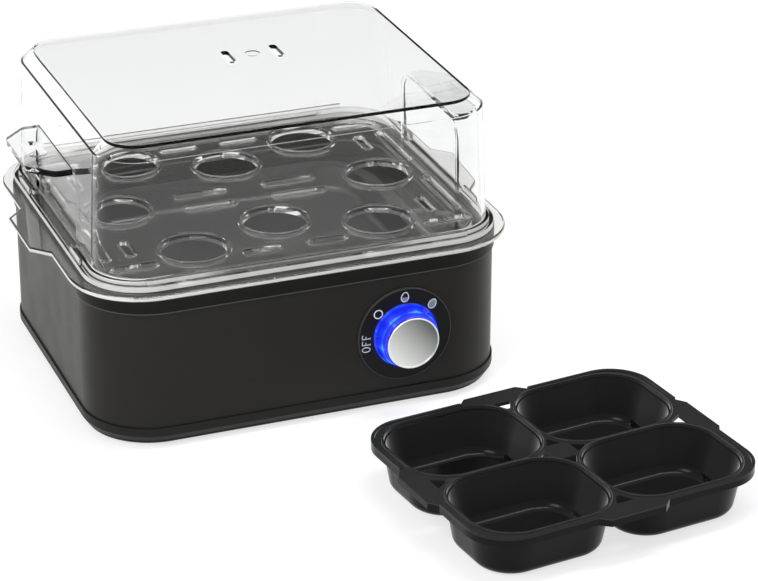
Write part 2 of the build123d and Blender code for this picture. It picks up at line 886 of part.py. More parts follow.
save(control_bracket, "control_bracket")

with BuildPart() as bracket_screws:
    with BuildSketch(Plane.XY.offset(z_bracket + bracket_t)):
        with Locations((knob_x, bracket_y + bracket_screw_in)):
            with GridLocations(2 * bracket_screw_x, 0, 2, 1):
                Circle(screw_head_r)
    extrude(amount=screw_head_h)
    with BuildSketch(Plane.XY.offset(z_bracket + bracket_t)):
        with Locations((knob_x, bracket_y + bracket_screw_in)):
            with GridLocations(2 * bracket_screw_x, 0, 2, 1):
                Circle(screw_r)
    extrude(amount=-bracket_screw_l)
save(bracket_screws, "bracket_screws")

# Terminal block on the floor of the base cover
z_bore = z_floor + block_bore_z
block_front = block_y - block_size[1] / 2
with BuildPart() as terminal_block:
    with Locations((block_x, block_y, z_floor + block_size[2] / 2)):
        Box(*block_size)
    with BuildSketch(front_plane(block_front, block_x, z_bore)):
        with GridLocations(block_pitch, 0, 3, 1):
            Circle(block_bore_r)
    extrude(amount=-block_size[1], mode=Mode.SUBTRACT)
    with BuildSketch(Plane.XY.offset(z_floor + block_size[2])):
        with Locations((block_x, block_y)):
            with GridLocations(block_pitch, block_size[1] / 2, 3, 2):
                Circle(block_screw_r + thread_gap)
    extrude(amount=block_bore_z - block_size[2], mode=Mode.SUBTRACT)
save(terminal_block, "terminal_block")

with BuildPart() as terminal_screws:
    with BuildSketch(Plane.XY.offset(z_floor + block_size[2] - groove)):
        with Locations((block_x, block_y)):
            with GridLocations(block_pitch, block_size[1] / 2, 3, 2):
                Circle(block_screw_r)
    extrude(amount=block_bore_z - block_size[2] + block_bore_r)
save(terminal_screws, "terminal_screws")

# Bush for the supply cord, in the back of the band
y_back = band_y / 2
gland_plane = Plane(origin=(gland_x, 0, gland_z), x_dir=(1, 0, 0), z_dir=(0, 0, 1))
with BuildPart() as cord_gland:
    with BuildSketch(gland_plane):
        with BuildLine():
            Polyline(
                (gland_bore_r, y_back + gland_flange_t),
                (gland_flange_r - groove, y_back + gland_flange_t),
                (gland_flange_r, y_back + gland_flange_t - groove),
                (gland_flange_r, y_back),
                (gland_neck_r, y_back),
                (gland_neck_r, y_back - band_wall),
                (gland_flange_r - groove, y_back - band_wall),
                (gland_neck_r, y_back - band_wall - gland_flange_t),
                (gland_neck_r, y_back - band_wall - gland_sleeve_l),
                (gland_bore_r, y_back - band_wall - gland_sleeve_l),
                close=True,
            )
        make_face()
    revolve(axis=Axis((gland_x, 0, gland_z), (0, 1, 0)))
save(cord_gland, "cord_gland")

# Inner leads, each one unbroken tube from terminal to terminal
y_tabs = y_control + tab_l
y_pins = leg_end_y + pin_l
z_tabs = knob_z - tab_at / 2
pad_x = knob_x - board_pad[0]
pad_z = knob_z - board_pad[1]
wire_routes = (
    (
        (block_x + block_pitch, block_front, z_bore),
        (block_x + block_pitch, block_front - clamp_run[0], z_bore),
        bend_heater,
        (-leg_x, y_pins + pin_run, z_tube - pin_rise),
        (-leg_x, y_pins + pin_run, z_tube),
        (-leg_x, y_pins, z_tube),
    ),
    (
        (knob_x - tab_at, y_tabs, z_tabs),
        (knob_x - tab_at, y_tabs + tab_run, z_tabs),
        *bends_switch,
        (leg_x, y_pins + pin_run, z_tube - pin_rise),
        (leg_x, y_pins + pin_run, z_tube),
        (leg_x, y_pins, z_tube),
    ),
    (
        (block_x, block_front, z_bore),
        (block_x, block_front - clamp_run[1], z_bore),
        *bends_supply,
        (knob_x + tab_at, y_tabs + tab_run, z_tabs - tab_rise),
        (knob_x + tab_at, y_tabs + tab_run, z_tabs),
        (knob_x + tab_at, y_tabs, z_tabs),
    ),
    (
        (block_x - block_pitch, block_front, z_bore),
        (block_x - block_pitch, block_front - clamp_run[2], z_bore),
        *bends_lamps,
        (pad_x, y_board + board_t + board_run, pad_z),
        (pad_x, y_board + board_t, pad_z),
    ),
)
with BuildPart() as lead_wires:
    for route in wire_routes:
        with BuildLine() as lead:
            FilletPolyline(*route, radius=wire_bend)
        with BuildSketch(Plane(origin=lead.line @ 0, z_dir=lead.line % 0)):
            Circle(wire_r)
        sweep(path=lead.line)
save(lead_wires, "lead_wires")

# Egg tray: clear moulding with eight raised seats and steam slots
seat_places = mirrored(seats)
skirt_in = tray_gap + well_slope * tray_skirt / well_depth


def steam_slots(grow):
    """The tray's steam slots, grown on every side."""
    for x, y, length in slots_deep:
        with Locations(*mirrored([(x, y)])):
            SlotOverall(length + 2 * grow, slot_w + 2 * grow, rotation=90)
    for x, y, length in slots_wide:
        with Locations(*mirrored([(x, y)])):
            SlotOverall(length + 2 * grow, slot_w + 2 * grow)


with BuildPart() as egg_tray:
    with BuildSketch(Plane.XY.offset(z_top)):
        RectangleRounded(flange_x, flange_y, flange_r)
        tray_tab = finger_tabs(
            ledge_x / 2, tray_tab_root_y, tray_tab_x, tray_tab_y, tray_tab_corner
        )
        for turn in (0, 180):
            Polygon(*tray_tab, rotation=turn, align=None)
    extrude(amount=lip_t)
    fillet(egg_tray.edges().group_by(Axis.Z)[-1], lip_edge_r)
    fillet(egg_tray.edges().group_by(Axis.Z)[0], lip_edge_r)
    with BuildSketch(Plane.XY.offset(z_top)):
        RectangleRounded(ledge_x, ledge_y, ledge_r)
    extrude(amount=tray_floor)
    with BuildSketch(Plane.XY.offset(z_top)):
        RectangleRounded(
            ledge_x - 2 * tray_wall, ledge_y - 2 * tray_wall, ledge_r - tray_wall
        )
    extrude(amount=tray_floor - tray_t, mode=Mode.SUBTRACT)
    with BuildSketch(Plane.XY.offset(z_top - tray_skirt)):
        well_outline(-skirt_in)
        well_outline(-skirt_in - tray_skirt_t, mode=Mode.SUBTRACT)
    extrude(amount=tray_skirt + tray_floor - tray_t)
    rib_y = lid_y / 2 + lid_foot + rib_gap + rib_t / 2
    rib_x = lid_x / 2 + lid_foot + rib_gap + rib_t / 2
    with BuildSketch(Plane.XY.offset(z_tray)):
        with GridLocations(0, 2 * rib_y, 1, 2):
            SlotOverall(front_rib_l, rib_t)
        with GridLocations(2 * rib_x, 2 * (pocket_y + side_rib_l / 2), 2, 2):
            SlotOverall(side_rib_l, rib_t, rotation=90)
    extrude(amount=rib_h)
    with BuildSketch(Plane.XY.offset(z_tray)):
        with Locations(*seat_places):
            Circle(seat_r + seat_wall)
    extrude(amount=seat_h)
    with BuildSketch(Plane.XY.offset(z_tray + seat_h)):
        with Locations(*seat_places):
            Circle(seat_r)
    extrude(amount=-seat_h - tray_t, mode=Mode.SUBTRACT)
    seat_edges = (
        egg_tray.edges()
        .filter_by(GeomType.CIRCLE)
        .filter_by(lambda edge: abs(edge.radius - seat_r) < slip)
        .group_by(Axis.Z)[-1]
    )
    chamfer(seat_edges, seat_chamfer)
    with BuildSketch(Plane.XY.offset(z_tray)):
        steam_slots(bead_w)
    extrude(amount=bead_h)
    with BuildSketch(Plane.XY.offset(z_tray + bead_h)):
        steam_slots(0)
    extrude(amount=-bead_h - tray_t, mode=Mode.SUBTRACT)
save(egg_tray, "egg_tray")

# Lid: drafted shell, finger pockets and tabs, steam slots
pocket_x = lid_x / 2 - pocket_in
pocket_h = 2 * lid_tab_z


def pocket_outline(grow):
    """Upright outline of a finger pocket, on a plane that faces sideways."""
    return RectangleRounded(2 * (pocket_y + grow), pocket_h + 2 * grow, pocket_r + grow)


with BuildPart() as lid_void:
    with BuildSketch(Plane.XY.offset(z_tray)):
        lid_outline(-lid_t)
    with BuildSketch(Plane.XY.offset(z_lid - lid_top_t)):
        lid_outline(-lid_t - lid_draft)
    loft(ruled=True)
    chamfer(lid_void.edges().group_by(Axis.Z)[-1], lid_edge + sqrt(2) * lid_t - lid_t - lid_top_t)
    with BuildSketch(Plane(origin=(pocket_x - lid_t, 0, z_tray), z_dir=(1, 0, 0))):
        pocket_outline(lid_t)
    extrude(amount=lid_x, mode=Mode.SUBTRACT)
    with BuildSketch(Plane(origin=(lid_t - pocket_x, 0, z_tray), z_dir=(-1, 0, 0))):
        pocket_outline(lid_t)
    extrude(amount=lid_x, mode=Mode.SUBTRACT)

with BuildPart() as lid:
    with BuildSketch(Plane.XY.offset(z_tray)):
        lid_outline(0)
    with BuildSketch(Plane.XY.offset(z_lid)):
        lid_outline(-lid_draft)
    loft(ruled=True)
    chamfer(lid.edges().group_by(Axis.Z)[-1], lid_edge)
    fillet(lid.edges().group_by(Axis.Z)[-1], lid_edge_round)
    with BuildSketch(Plane.XY.offset(z_tray)):
        lid_outline(lid_foot)
    extrude(amount=lid_foot_h)
    with BuildSketch(Plane(origin=(pocket_x, 0, z_tray), z_dir=(1, 0, 0))):
        pocket_outline(0)
    extrude(amount=lid_x, mode=Mode.SUBTRACT)
    with BuildSketch(Plane(origin=(-pocket_x, 0, z_tray), z_dir=(-1, 0, 0))):
        pocket_outline(0)
    extrude(amount=lid_x, mode=Mode.SUBTRACT)
    with BuildSketch(Plane.XY.offset(z_tray + lid_tab_z)) as tab_sketch:
        lid_tab = finger_tabs(
            pocket_x - lid_t / 2,
            lid_tab_root_y,
            lid_tab_x,
            lid_tab_y,
            lid_tab_root_y - lid_tab_y,
        )
        for turn in (0, 180):
            Polygon(*lid_tab, rotation=turn, align=None)
        fillet(
            tab_sketch.vertices().filter_by(lambda corner: abs(corner.X) > lid_x / 2),
            lid_tab_round,
        )
    extrude(amount=lid_tab_t)
    for side in (-1, 1):
        with BuildSketch(Plane.XY.offset(z_tray + lid_tab_z + lid_tab_t)):
            with Locations((side * dimple_x, 0)):
                SlotOverall(*dimple, rotation=90)
        with BuildSketch(Plane.XY.offset(z_tray + lid_tab_z + lid_tab_t - dimple_d)):
            with Locations((side * dimple_x, 0)):
                SlotOverall(*dimple_floor, rotation=90)
        loft(ruled=True, mode=Mode.SUBTRACT)
    add(lid_void.part, mode=Mode.SUBTRACT)
    with BuildSketch(Plane.XY.offset(z_lid)):
        with Locations((steam_x, steam_y)):
            with GridLocations(steam_pitch, 0, 2, 1):
                SlotOverall(*steam_slot, rotation=90)
    extrude(amount=-lid_top_t, mode=Mode.SUBTRACT)
    with BuildSketch(Plane.XY.offset(z_lid)):
        with Locations((steam_x, steam_y)):
            Circle(gate_r)
    extrude(amount=-gate_d, mode=Mode.SUBTRACT)
save(lid, "lid")

# Poaching tray: four drafted cups in one web, with a tab on each side
with BuildPart() as cup_body:
    with BuildSketch():
        RectangleRounded(
            cup_w + 2 * (poach_t - cup_draft),
            cup_d + 2 * (poach_t - cup_draft),
            cup_r + poach_t - cup_draft,
        )
    with BuildSketch(Plane.XY.offset(poach_h)):
        RectangleRounded(cup_w + 2 * poach_t, cup_d + 2 * poach_t, cup_r + poach_t)
    loft(ruled=True)
    fillet(cup_body.edges().group_by(Axis.Z)[0], cup_floor_r)
    with BuildSketch(Plane.XY.offset(poach_h - cup_step_h)):
        RectangleRounded(
            cup_w + 2 * (poach_t - cup_step), cup_d + 2 * (poach_t - cup_step), cup_r
        )
    with BuildSketch(Plane.XY.offset(poach_h)):
        RectangleRounded(cup_w + 2 * poach_t, cup_d + 2 * poach_t, cup_r + poach_t)
    loft(ruled=True)
    fillet(cup_body.edges().group_by(Axis.Z)[-1], cup_rim_r)

with BuildPart() as cup_void:
    with BuildSketch(Plane.XY.offset(poach_t)):
        RectangleRounded(cup_w - 2 * cup_draft, cup_d - 2 * cup_draft, cup_r - cup_draft)
    with BuildSketch(Plane.XY.offset(poach_h)):
        RectangleRounded(cup_w, cup_d, cup_r)
    loft(ruled=True)
    fillet(cup_void.edges().group_by(Axis.Z)[0], cup_floor_r - poach_t / 2)
    with BuildSketch(Plane.XY.offset(poach_h - cup_ledge_h)):
        RectangleRounded(cup_w + 2 * cup_ledge, cup_d + 2 * cup_ledge, cup_r + cup_ledge)
    extrude(amount=cup_ledge_h)

with BuildPart(poach_plane) as poaching_tray:
    with BuildSketch(poach_plane.offset(poach_h - web_drop)) as web_sketch:
        RectangleRounded(poach_w, poach_d, poach_r)
        side_tab = finger_tabs(
            poach_w / 2 - poach_t,
            side_tab_root,
            poach_w / 2 + side_tab_out,
            side_tab_tip,
            side_tab_out,
        )
        end_tab = finger_tabs(
            poach_d / 2 - poach_t,
            end_tab_root,
            poach_d / 2 + end_tab_out,
            end_tab_tip,
            end_tab_out,
        )
        for turn in (0, 180):
            Polygon(*side_tab, rotation=turn, align=None)
            Polygon(*end_tab, rotation=turn + 90, align=None)
    extrude(amount=-web_edge_h)
    fillet(poaching_tray.edges().group_by(Axis.Z)[-1], web_edge_r)
    with BuildSketch(poach_plane.offset(poach_h - web_drop - web_edge_r)):
        RectangleRounded(poach_w, poach_d, poach_r)
        RectangleRounded(
            poach_w - 2 * border_w, poach_d - 2 * border_w, poach_r - border_w, mode=Mode.SUBTRACT
        )
        Rectangle(poach_w, 2 * side_tab_root, mode=Mode.SUBTRACT)
        Rectangle(2 * end_tab_root, poach_d, mode=Mode.SUBTRACT)
    extrude(amount=web_drop + web_edge_r)
    with BuildSketch(poach_plane.offset(poach_h - web_drop - web_t)):
        RectangleRounded(
            poach_w - 2 * poach_t, poach_d - 2 * poach_t, poach_r - poach_t
        )
    extrude(amount=web_t - web_edge_h, mode=Mode.SUBTRACT)
    with GridLocations(2 * cup_x, 2 * cup_y, 2, 2):
        add(cup_body.part)
    with GridLocations(2 * cup_x, 2 * cup_y, 2, 2):
        add(cup_void.part, mode=Mode.SUBTRACT)
    with BuildSketch(poach_plane.offset(poach_h)):
        for turn, half in ((0, poach_w / 2), (90, poach_d / 2), (180, poach_w / 2), (270, poach_d / 2)):
            with PolarLocations(half - window_in, 1, turn):
                Trapezoid(window_base, window_h, window_angle, rotation=90)
        with PolarLocations(inner_window_at, 4):
            Trapezoid(inner_window_base, inner_window_h, window_angle, rotation=-90)
    extrude(amount=-web_drop - web_t, mode=Mode.SUBTRACT)
save(poaching_tray, "poaching_tray")
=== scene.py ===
"""Looks of an electric egg cooker and its poaching tray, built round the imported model.

Metres, +Z up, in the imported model's frame: the dial faces -Y, the table is at Z = 0.
The sections follow the order in which the cooker is put together.
"""
from math import cos, pi, radians, sin

import bmesh
import bpy
from mathutils import Matrix, Vector


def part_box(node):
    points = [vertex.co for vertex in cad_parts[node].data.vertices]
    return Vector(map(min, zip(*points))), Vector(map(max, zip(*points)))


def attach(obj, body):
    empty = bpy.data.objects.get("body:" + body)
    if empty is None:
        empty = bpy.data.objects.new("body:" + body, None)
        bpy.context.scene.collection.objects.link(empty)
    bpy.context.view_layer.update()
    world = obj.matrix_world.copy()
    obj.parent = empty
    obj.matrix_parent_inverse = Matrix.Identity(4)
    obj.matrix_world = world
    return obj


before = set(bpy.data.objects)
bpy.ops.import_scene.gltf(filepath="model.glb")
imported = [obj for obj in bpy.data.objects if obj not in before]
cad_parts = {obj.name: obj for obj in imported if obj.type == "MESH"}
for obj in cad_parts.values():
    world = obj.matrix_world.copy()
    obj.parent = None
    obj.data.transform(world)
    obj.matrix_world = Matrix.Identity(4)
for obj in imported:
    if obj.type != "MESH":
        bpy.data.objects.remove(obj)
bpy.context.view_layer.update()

MM = 0.001

# Base cover: the bottom of the housing with its slanting foot ring, vents and screw bosses.
# It is one moulding of black plastic, and the mould's fine spark-eroded grain shows on it.


def add_node(finish, kind, **values):
    """Adds a node of that kind; a value's name is its input's name with underscores."""
    node = finish.node_tree.nodes.new(kind)
    for name, value in values.items():
        node.inputs[name.replace("_", " ")].default_value = value
    return node


def shader_of(finish):
    return finish.node_tree.nodes["Principled BSDF"]


def new_finish(name, colour, roughness, **values):
    """A finish with one colour and roughness for a start."""
    finish = bpy.data.materials.new(name)
    finish.use_nodes = True
    shader = shader_of(finish)
    shader.inputs["Base Color"].default_value = (*colour, 1)
    shader.inputs["Roughness"].default_value = roughness
    for socket, value in values.items():
        shader.inputs[socket.replace("_", " ")].default_value = value
    return finish


def cloud(finish, size, detail=3.0, stretch=(1, 1, 1)):
    """Noise on object coordinates, in cells of that size, drawn out by stretch."""
    place = add_node(finish, "ShaderNodeTexCoord")
    turn = add_node(finish, "ShaderNodeMapping", Scale=stretch)
    noise = add_node(finish, "ShaderNodeTexNoise", Scale=1 / size, Detail=detail)
    finish.node_tree.links.new(place.outputs["Object"], turn.inputs["Vector"])
    finish.node_tree.links.new(turn.outputs["Vector"], noise.inputs["Vector"])
    return noise.outputs["Fac"]


def vary_colour(finish, factor, low, high):
    """Lets the colour drift between two tones with a factor."""
    mix = finish.node_tree.nodes.new("ShaderNodeMix")
    mix.data_type = "RGBA"
    mix.inputs[6].default_value = (*low, 1)
    mix.inputs[7].default_value = (*high, 1)
    finish.node_tree.links.new(factor, mix.inputs[0])
    finish.node_tree.links.new(mix.outputs[2], shader_of(finish).inputs["Base Color"])
    return mix


def vary_roughness(finish, factor, low, high):
    """Lets the roughness drift between two values with a factor."""
    spread = add_node(finish, "ShaderNodeMapRange", From_Min=0.3, From_Max=0.7, To_Min=low, To_Max=high)
    finish.node_tree.links.new(factor, spread.inputs["Value"])
    finish.node_tree.links.new(spread.outputs["Result"], shader_of(finish).inputs["Roughness"])


def raise_grain(finish, factor, height, strength=1.0):
    """Turns a factor into a bump of that height."""
    bump = add_node(finish, "ShaderNodeBump", Strength=strength, Distance=height)
    finish.node_tree.links.new(factor, bump.inputs["Height"])
    finish.node_tree.links.new(bump.outputs["Normal"], shader_of(finish).inputs["Normal"])


def dress(finish, *names):
    """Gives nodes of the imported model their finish."""
    for name in names:
        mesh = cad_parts[name].data
        mesh.materials.clear()
        mesh.materials.append(finish)


cover_black = (0.0105, 0.0105, 0.0095)
cover_black_light = (0.014, 0.014, 0.0125)
cover_grain = 0.45 * MM
moulded_black = new_finish("moulded_black", cover_black, 0.42, Specular_IOR_Level=0.15)
vary_colour(moulded_black, cloud(moulded_black, 25 * MM), cover_black, cover_black_light)
vary_roughness(moulded_black, cloud(moulded_black, 12 * MM), 0.38, 0.47)
raise_grain(moulded_black, cloud(moulded_black, cover_grain), 0.012 * MM)
dress(moulded_black, "base_cover")

# Rubber feet and the bush for the supply cord: soft black rubber, pushed into their holes.
# Moulded rubber is dull, with a faint grey bloom.
feet_black = (0.012, 0.012, 0.012)
feet_bloom = (0.028, 0.028, 0.027)
feet_rubber = new_finish("feet_rubber", feet_black, 0.72, Specular_IOR_Level=0.3)
vary_colour(feet_rubber, cloud(feet_rubber, 6 * MM), feet_black, feet_bloom)
raise_grain(feet_rubber, cloud(feet_rubber, 0.3 * MM), 0.02 * MM)
dress(feet_rubber, "rubber_feet", "cord_gland")

# Terminal block on the floor of the cover: unglazed porcelain with brass clamp screws.
# The block is pressed and fired, so it is matt, warm white and slightly grainy.
porcelain_dull = (0.74, 0.71, 0.64)
porcelain_light = (0.84, 0.82, 0.76)
porcelain = new_finish("porcelain", porcelain_dull, 0.6)
vary_colour(porcelain, cloud(porcelain, 4 * MM), porcelain_dull, porcelain_light)
raise_grain(porcelain, cloud(porcelain, 0.25 * MM), 0.02 * MM)
dress(porcelain, "terminal_block", "limit_thermostat")

brass_dark = (0.55, 0.36, 0.12)
brass_light = (0.80, 0.60, 0.27)
turned_brass = new_finish("turned_brass", brass_light, 0.3, Metallic=1.0)
vary_colour(turned_brass, cloud(turned_brass, 2 * MM), brass_dark, brass_light)
raise_grain(turned_brass, cloud(turned_brass, 0.2 * MM, stretch=(1, 6, 1)), 0.01 * MM)
dress(turned_brass, "terminal_screws", "control_nut", "control_shaft")

# Inner leads: stranded wire in a woven glass-fibre sleeve, pale cream.
# The weave is a fine check all over the sleeve.
sleeve_dark = (0.52, 0.46, 0.36)
sleeve_light = (0.76, 0.71, 0.60)
glass_sleeve = new_finish("glass_sleeve", sleeve_light, 0.7)
vary_colour(glass_sleeve, cloud(glass_sleeve, 0.5 * MM), sleeve_dark, sleeve_light)
raise_grain(glass_sleeve, cloud(glass_sleeve, 0.35 * MM), 0.06 * MM)
dress(glass_sleeve, "lead_wires")

# Bent sheet parts and small screws: zinc-plated steel with the plating's cloudy crystal look.
# Straps, clips, bracket, nuts and screws all come from the same plating bath.
zinc_dark = (0.42, 0.43, 0.43)
zinc_light = (0.63, 0.64, 0.62)
zinc_plate = new_finish("zinc_plate", zinc_light, 0.36, Metallic=1.0)
vary_colour(zinc_plate, cloud(zinc_plate, 3 * MM, detail=6), zinc_dark, zinc_light)
vary_roughness(zinc_plate, cloud(zinc_plate, 1.5 * MM), 0.3, 0.45)
dress(
    zinc_plate,
    "cover_screws",
    "bracket_screws",
    "control_bracket",
    "pan_straps",
    "pan_nuts",
    "thermostat_strap",
    "fuse_clip",
    "small_nuts",
)

# Thermostat behind the dial and the thermal fuse under the pan.
# The thermostat's body is moulded cream plastic, the fuse a drawn aluminium can.
switch_dull = (0.62, 0.57, 0.46)
switch_light = (0.70, 0.66, 0.55)
switch_plastic = new_finish("switch_plastic", switch_dull, 0.5)
vary_colour(switch_plastic, cloud(switch_plastic, 5 * MM), switch_dull, switch_light)
raise_grain(switch_plastic, cloud(switch_plastic, 0.4 * MM), 0.01 * MM)
dress(switch_plastic, "control_body")

can_dark = (0.52, 0.52, 0.53)
can_light = (0.74, 0.74, 0.74)
drawn_can = new_finish("drawn_can", can_light, 0.3, Metallic=1.0)
vary_colour(drawn_can, cloud(drawn_can, 1.2 * MM, stretch=(0.1, 1, 1)), can_dark, can_light)
dress(drawn_can, "thermal_fuse")

# Water pan: pressed aluminium with a dark non-stick coat, its seal, and the tube that heats it.
# The coat is half gloss and finely speckled, the seal is pale silicone, the tube annealed steel.
coat_dark = (0.010, 0.010, 0.010)
coat_light = (0.026, 0.026, 0.026)
pan_coat = new_finish("pan_coat", coat_dark, 0.32)
vary_colour(pan_coat, cloud(pan_coat, 0.8 * MM, detail=5), coat_dark, coat_light)
raise_grain(pan_coat, cloud(pan_coat, 0.5 * MM), 0.015 * MM)
dress(pan_coat, "heating_pan")

seal_dull = (0.55, 0.54, 0.51)
seal_light = (0.66, 0.65, 0.62)
seal_silicone = new_finish("seal_silicone", seal_dull, 0.55)
vary_colour(seal_silicone, cloud(seal_silicone, 8 * MM), seal_dull, seal_light)
dress(seal_silicone, "pan_seal")

tube_blue = (0.20, 0.20, 0.24)
tube_straw = (0.42, 0.37, 0.29)
annealed_tube = new_finish("annealed_tube", tube_straw, 0.38, Metallic=1.0)
vary_colour(annealed_tube, cloud(annealed_tube, 14 * MM), tube_blue, tube_straw)
vary_roughness(annealed_tube, cloud(annealed_tube, 2 * MM), 0.3, 0.5)
dress(annealed_tube, "heating_element")

# Band round the housing: one strip of steel sheet, painted dark umber-grey and wrapped round.
# The paint is satin with a very slight orange peel, and lighter where the coat is thicker.
paint_dark = (0.0165, 0.0158, 0.0133)
paint_light = (0.0210, 0.0202, 0.0172)
band_paint = new_finish("band_paint", paint_dark, 0.36, Specular_IOR_Level=0.13)
vary_colour(band_paint, cloud(band_paint, 45 * MM), paint_dark, paint_light)
vary_roughness(band_paint, cloud(band_paint, 20 * MM), 0.33, 0.40)
raise_grain(band_paint, cloud(band_paint, 1.1 * MM), 0.006 * MM)
dress(band_paint, "side_band")

# Top frame: the black rim that closes the housing, with the sloping well round the water pan.
# It is moulded in the same black as the base cover but comes out of a smoother mould. A pale
# line painted along the rim's lower edge, over the band, is a painted highlight of that edge.
rim_black = (0.0070, 0.0070, 0.0064)
rim_black_light = (0.0095, 0.0095, 0.0087)
painted_seam_highlight = (0.085, 0.084, 0.080)
seam_highlight_height = 0.45 * MM
rim_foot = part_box("side_band")[1].z


def reckon(finish, operation, *terms):
    """One step of arithmetic or one test on sockets and numbers, as a socket."""
    step = finish.node_tree.nodes.new("ShaderNodeMath")
    step.operation = operation
    for place, term in enumerate(terms):
        if isinstance(term, bpy.types.NodeSocket):
            finish.node_tree.links.new(term, step.inputs[place])
        else:
            step.inputs[place].default_value = term
    return step.outputs[0]


def height_over_table(finish):
    """Height of a point where its piece lies at rest, as a socket in metres."""
    place = add_node(finish, "ShaderNodeTexCoord")
    parts = add_node(finish, "ShaderNodeSeparateXYZ")
    finish.node_tree.links.new(place.outputs["Object"], parts.inputs[0])
    return parts.outputs["Z"]


def lay_over(finish, under, where, colour):
    """Lays one more tone over a colour where the factor is one."""
    mix = vary_colour(finish, where, colour, colour)
    finish.node_tree.links.new(under.outputs[2], mix.inputs[6])


smooth_black = new_finish("smooth_black", rim_black, 0.34, Specular_IOR_Level=0.10)
rim_tone = vary_colour(smooth_black, cloud(smooth_black, 30 * MM), rim_black, rim_black_light)
# Painted highlight: a pale band of colour along the rim's lower edge, where the edge catches light.
on_seam_highlight = reckon(smooth_black, "COMPARE", height_over_table(smooth_black), rim_foot, seam_highlight_height)
lay_over(smooth_black, rim_tone, on_seam_highlight, painted_seam_highlight)
vary_roughness(smooth_black, cloud(smooth_black, 10 * MM), 0.3, 0.38)
raise_grain(smooth_black, cloud(smooth_black, 0.5 * MM), 0.006 * MM)
dress(smooth_black, "top_frame")

# Dial plate: a black moulded disc snapped into the band, with the light behind its window.
# The light from the knob's body spills a little way onto its face. Its raised edge is greyer.
knob_low, knob_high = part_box("knob_skirt")
knob_x = (knob_low.x + knob_high.x) / 2
knob_z = (knob_low.z + knob_high.z) / 2
skirt_radius = (knob_high.x - knob_low.x) / 2


def from_axis(finish):
    """Distance from the knob's axis, as a socket in metres."""
    place = add_node(finish, "ShaderNodeTexCoord")
    centre = add_node(finish, "ShaderNodeMapping", Location=(-knob_x, 0, -knob_z), Scale=(1, 0, 1))
    length = finish.node_tree.nodes.new("ShaderNodeVectorMath")
    length.operation = "LENGTH"
    finish.node_tree.links.new(place.outputs["Object"], centre.inputs["Vector"])
    finish.node_tree.links.new(centre.outputs["Vector"], length.inputs[0])
    return length.outputs["Value"]


def glow(finish, factor, stops, strength):
    """Light that the surface gives off, with colours along a factor from 0 to 1."""
    ramp = finish.node_tree.nodes.new("ShaderNodeValToRGB")
    band = ramp.color_ramp
    for element, (position, colour) in zip(band.elements, (stops[0], stops[-1])):
        element.position = position
        element.color = (*colour, 1)
    for position, colour in stops[1:-1]:
        band.elements.new(position).color = (*colour, 1)
    finish.node_tree.links.new(factor, ramp.inputs["Fac"])
    shader = shader_of(finish)
    finish.node_tree.links.new(ramp.outputs["Color"], shader.inputs["Emission Color"])
    shader.inputs["Emission Strength"].default_value = strength


spill_reach = 1.8 * MM
spill_start = 0.5 * MM
plate_edge = (0.042, 0.042, 0.040)
plate_edge_from = 22.45 * MM
plate_black = new_finish("plate_black", rim_black, 0.45, Specular_IOR_Level=0.12)
plate_tone = vary_colour(plate_black, cloud(plate_black, 9 * MM), rim_black, rim_black_light)
on_edge = reckon(plate_black, "GREATER_THAN", from_axis(plate_black), plate_edge_from)
lay_over(plate_black, plate_tone, on_edge, plate_edge)
raise_grain(plate_black, cloud(plate_black, 0.4 * MM), 0.008 * MM)
spill = add_node(
    plate_black,
    "ShaderNodeMapRange",
    From_Min=skirt_radius - spill_start,
    From_Max=skirt_radius + spill_reach,
)
plate_black.node_tree.links.new(from_axis(plate_black), spill.inputs["Value"])
glow(
    plate_black,
    spill.outputs["Result"],
    ((0.0, (0.006, 0.015, 0.35)), (0.35, (0.001, 0.002, 0.03)), (1.0, (0.0, 0.0, 0.0))),
    1.0,
)
dress(plate_black, "dial_plate")

# Printed marks on the dial plate: off, and three eggs from soft to hard.
# They are pad-printed in white, the last two filled to show how far the egg sets.
print_thickness = 0.05 * MM
plate_face = -86.85 * MM
mark_line = 0.55 * MM
egg_half = (2.0 * MM, 2.55 * MM)
egg_narrowing = 0.12
yolk_line = 0.8 * mark_line
soft_radius = 2.3 * MM
letter_points = 32
letter_height = 4.2 * MM
letter_width = 2.5 * MM
letter_gap = 0.55 * MM
letter_line = 0.38 * MM
serif = 0.3 * MM


def plate_mesh(name, outlines, place):
    """Flat prints from closed outlines, laid on the plate by a 2-D place function.

    An outline is a list of points; a pair of outlines is a ring between them.
    """
    mesh = bpy.data.meshes.new(name)
    bm = bmesh.new()
    for outer, inner in outlines:
        layers = []
        for depth in (0.0, -print_thickness):
            layers.append([bm.verts.new(place(x, y, depth)) for x, y in outer])
            if inner:
                layers.append([bm.verts.new(place(x, y, depth)) for x, y in inner])
        count = len(outer)
        if inner:
            back, back_hole, front, front_hole = layers
            for i in range(count):
                j = (i + 1) % count
                bm.faces.new((front[i], front[j], front_hole[j], front_hole[i]))
                bm.faces.new((back[j], back[i], back_hole[i], back_hole[j]))
                bm.faces.new((back[i], back[j], front[j], front[i]))
                bm.faces.new((back_hole[j], back_hole[i], front_hole[i], front_hole[j]))
        else:
            back, front = layers
            bm.faces.new(front)
            bm.faces.new(back[::-1])
            for i in range(count):
                j = (i + 1) % count
                bm.faces.new((back[i], back[j], front[j], front[i]))
    bmesh.ops.recalc_face_normals(bm, faces=bm.faces)
    bm.to_mesh(mesh)
    bm.free()
    piece = bpy.data.objects.new(name, mesh)
    bpy.context.scene.collection.objects.link(piece)
    return piece


def on_plate(radius, angle, turn):
    """Places a print's own x and y on the plate, turned, at a radius and angle seen from the front."""
    middle_x = knob_x + radius * cos(angle)
    middle_z = knob_z + radius * sin(angle)

    def place(x, y, depth):
        return (
            middle_x + x * cos(turn) - y * sin(turn),
            plate_face + depth,
            middle_z + x * sin(turn) + y * cos(turn),
        )

    return place


